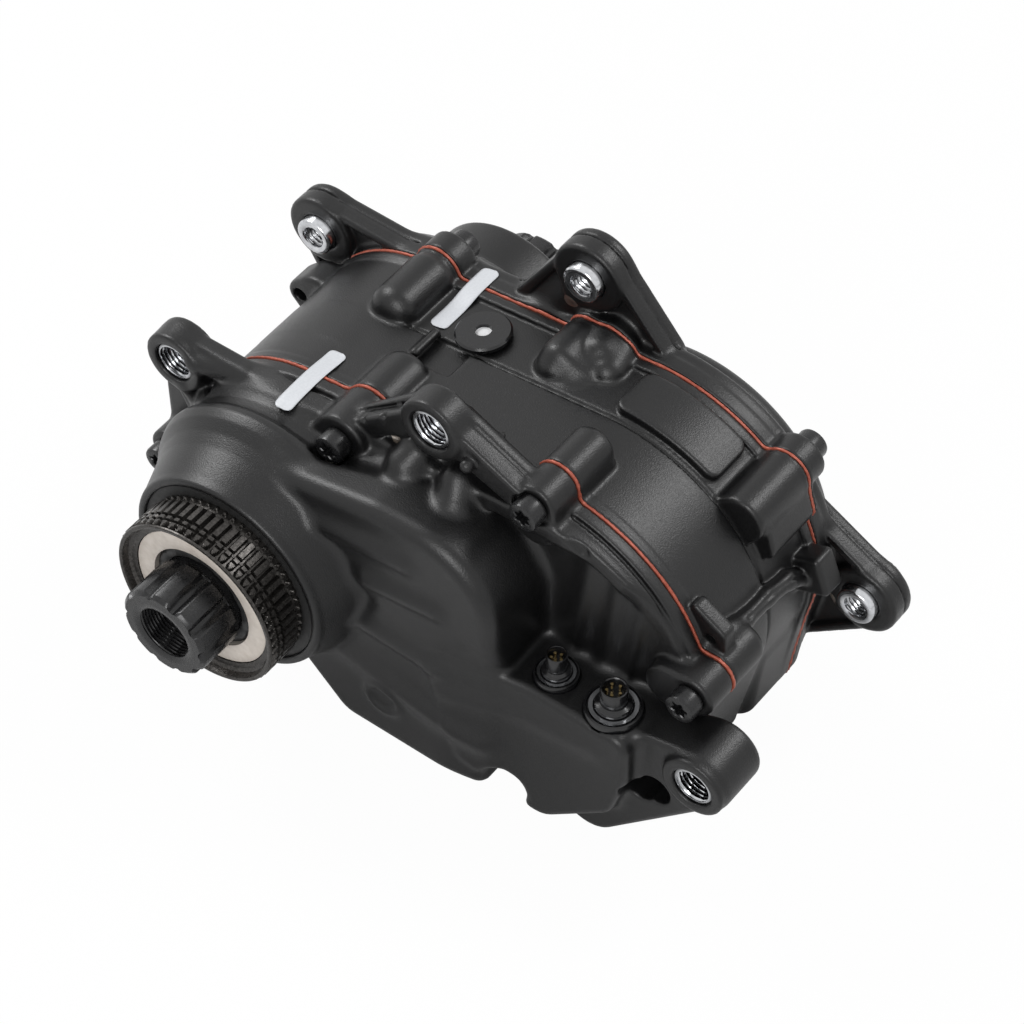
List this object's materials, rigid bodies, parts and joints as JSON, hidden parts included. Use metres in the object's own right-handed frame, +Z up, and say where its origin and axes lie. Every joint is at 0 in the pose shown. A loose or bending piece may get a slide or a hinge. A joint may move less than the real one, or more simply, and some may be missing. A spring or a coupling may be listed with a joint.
{
  "type": "electric bike motor",
  "caption": "Compact mid-drive motor in three black cast shells, with a splined crank spindle, a splined chainring carrier, frame ears, a geared rotor and a cable port pocket.",
  "frame": {"origin": "on the crank axis, at the end face of the crank spindle on the drive side", "axes": "+X from the crank axis towards the motor, +Y along the crank axis towards the non-drive side, +Z up"},
  "size_m": [0.1982, 0.164, 0.1221],
  "materials": {
    "casting": "fine-grained matte black coating on die castings",
    "gasket": "coated copper-red sheet gasket",
    "black_steel": "black oxide, slightly oily",
    "dark_steel": "dark gunmetal, machined splines",
    "bright_steel": "bright nickel plate",
    "plain_steel": "ground bearing and gear steel",
    "laminations": "stacked electrical steel",
    "magnet": "nickel plated sintered magnet",
    "copper": "enamelled copper wire",
    "gold": "gold flash",
    "rubber": "matte black sealing rubber",
    "beige_plastic": "matte beige moulding",
    "black_plastic": "satin black moulding",
    "gear_plastic": "natural nylon",
    "board": "circuit board with solder mask",
    "membrane": "white breathing membrane",
    "label": "blank white paper label"
  },
  "bodies": {
    "casing": {"drive_side_cover": "casting", "centre_housing": "casting", "non_drive_cover": "casting", "drive_side_gasket": "gasket", "non_drive_gasket": "gasket", "drive_side_screws": "black_steel", "non_drive_screws": "black_steel", "frame_thread_inserts": "bright_steel", "torque_sensor_coil": "black_plastic", "carrier_seal": "rubber", "carrier_bearing_outer": "plain_steel", "spindle_bearing_outer": "plain_steel", "spindle_seal_non_drive": "rubber", "counter_bearings_outer": "plain_steel", "rotor_bearings_outer": "plain_steel", "stator_core": "laminations", "stator_coils": "copper", "controller_board": "board", "board_capacitors": "black_plastic", "small_connector": "black_plastic", "large_connector": "black_plastic", "connector_contacts": "gold", "snap_rings": "bright_steel", "joint_dowels": "plain_steel", "vent_cap": "black_plastic", "vent_membrane": "membrane", "front_blank_label": "label", "back_blank_label": "label"},
    "spindle": {"crank_spindle": "black_steel", "torque_sensor_sleeve": "plain_steel", "spindle_bearing_inner": "plain_steel"},
    "carrier": {"chainring_carrier": "dark_steel", "carrier_dust_shield": "beige_plastic", "spindle_seal_drive": "rubber", "carrier_bearing_inner": "plain_steel", "needle_bearing": "plain_steel", "rider_clutch_rollers": "plain_steel"},
    "output": {"output_gear": "plain_steel", "motor_clutch_cage": "black_plastic", "motor_clutch_rollers": "plain_steel"},
    "counter": {"counter_shaft": "plain_steel", "counter_gear": "gear_plastic", "counter_bearings_inner": "plain_steel"},
    "rotor": {"rotor_shaft": "plain_steel", "rotor_pinion": "plain_steel", "rotor_core": "laminations", "rotor_magnets": "magnet", "rotor_bearings_inner": "plain_steel"},
    "rear_bushing": {"rear_sliding_bushing": "bright_steel"},
    "top_bushing": {"top_sliding_bushing": "bright_steel"},
    "front_bushing": {"front_sliding_bushing": "bright_steel"}
  },
  "joints": [
    {"name": "crank_spin", "type": "hinge", "parent": "casing", "child": "spindle", "pos_m": [0, 0, 0], "axis": [0, 1, 0], "continuous": true},
    {"name": "carrier_spin", "type": "hinge", "parent": "casing", "child": "carrier", "pos_m": [0, 0, 0], "axis": [0, 1, 0], "continuous": true},
    {"name": "output_spin", "type": "hinge", "parent": "casing", "child": "output", "pos_m": [0, 0, 0], "axis": [0, 1, 0], "continuous": true},
    {"name": "counter_spin", "type": "hinge", "parent": "casing", "child": "counter", "pos_m": [0.04, 0, 0], "axis": [0, 1, 0], "continuous": true},
    {"name": "rotor_spin", "type": "hinge", "parent": "casing", "child": "rotor", "pos_m": [0.076, 0, 0], "axis": [0, 1, 0], "continuous": true},
    {"name": "rear_bushing_slide", "type": "slide", "parent": "casing", "child": "rear_bushing", "axis": [0, 1, 0], "range_m": [-0.0015, 0.0018]},
    {"name": "top_bushing_slide", "type": "slide", "parent": "casing", "child": "top_bushing", "axis": [0, 1, 0], "range_m": [-0.0015, 0.0018]},
    {"name": "front_bushing_slide", "type": "slide", "parent": "casing", "child": "front_bushing", "axis": [0, 1, 0], "range_m": [-0.0015, 0.0018]}
  ],
  "couplings": [
    {"joint": "counter_spin", "follows": "rotor_spin", "ratio": -0.35849},
    {"joint": "output_spin", "follows": "rotor_spin", "ratio": 0.082729}
  ]
}
